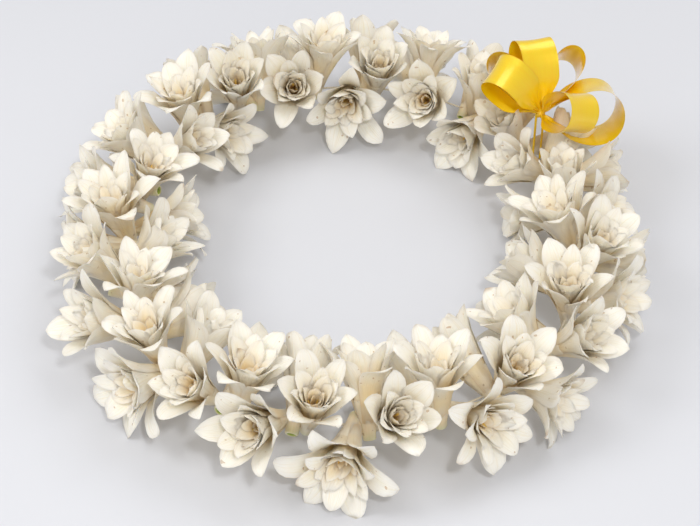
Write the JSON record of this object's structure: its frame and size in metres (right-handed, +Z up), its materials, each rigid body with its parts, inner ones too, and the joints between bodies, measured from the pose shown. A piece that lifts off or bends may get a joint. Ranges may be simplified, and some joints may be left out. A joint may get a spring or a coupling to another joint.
{
  "type": "fresh flower lei",
  "caption": "Closed loop of white double tuberose blooms threaded sideways on a string, laid flat, with a yellow satin ribbon bow.",
  "frame": {"origin": "on the table, below the middle of the whole lei with its bow", "axes": "+Z up from the table; +Y along the loop's longer way, away from the viewer; +X to the viewer's right"},
  "size_m": [0.323, 0.3618, 0.0885],
  "materials": {
    "petals": "waxy ivory petals, soft sheen",
    "string": "matte twisted cotton",
    "ribbon": "satin ribbon, bright yellow"
  },
  "bodies": {
    "root": {"bloom_round_01": "petals", "bloom_round_02": "petals", "bloom_round_03": "petals", "bloom_round_04": "petals", "bloom_round_05": "petals", "bloom_round_06": "petals", "bloom_round_07": "petals", "bloom_round_08": "petals", "bloom_round_09": "petals", "bloom_round_10": "petals", "bloom_round_11": "petals", "bloom_round_12": "petals", "bloom_round_13": "petals", "bloom_round_14": "petals", "bloom_round_15": "petals", "bloom_round_16": "petals", "bloom_round_17": "petals", "bloom_round_18": "petals", "bloom_round_19": "petals", "bloom_round_20": "petals", "bloom_round_21": "petals", "bloom_round_22": "petals", "bloom_round_23": "petals", "string": "string", "ribbon_bow": "ribbon"}
  },
  "joints": []
}
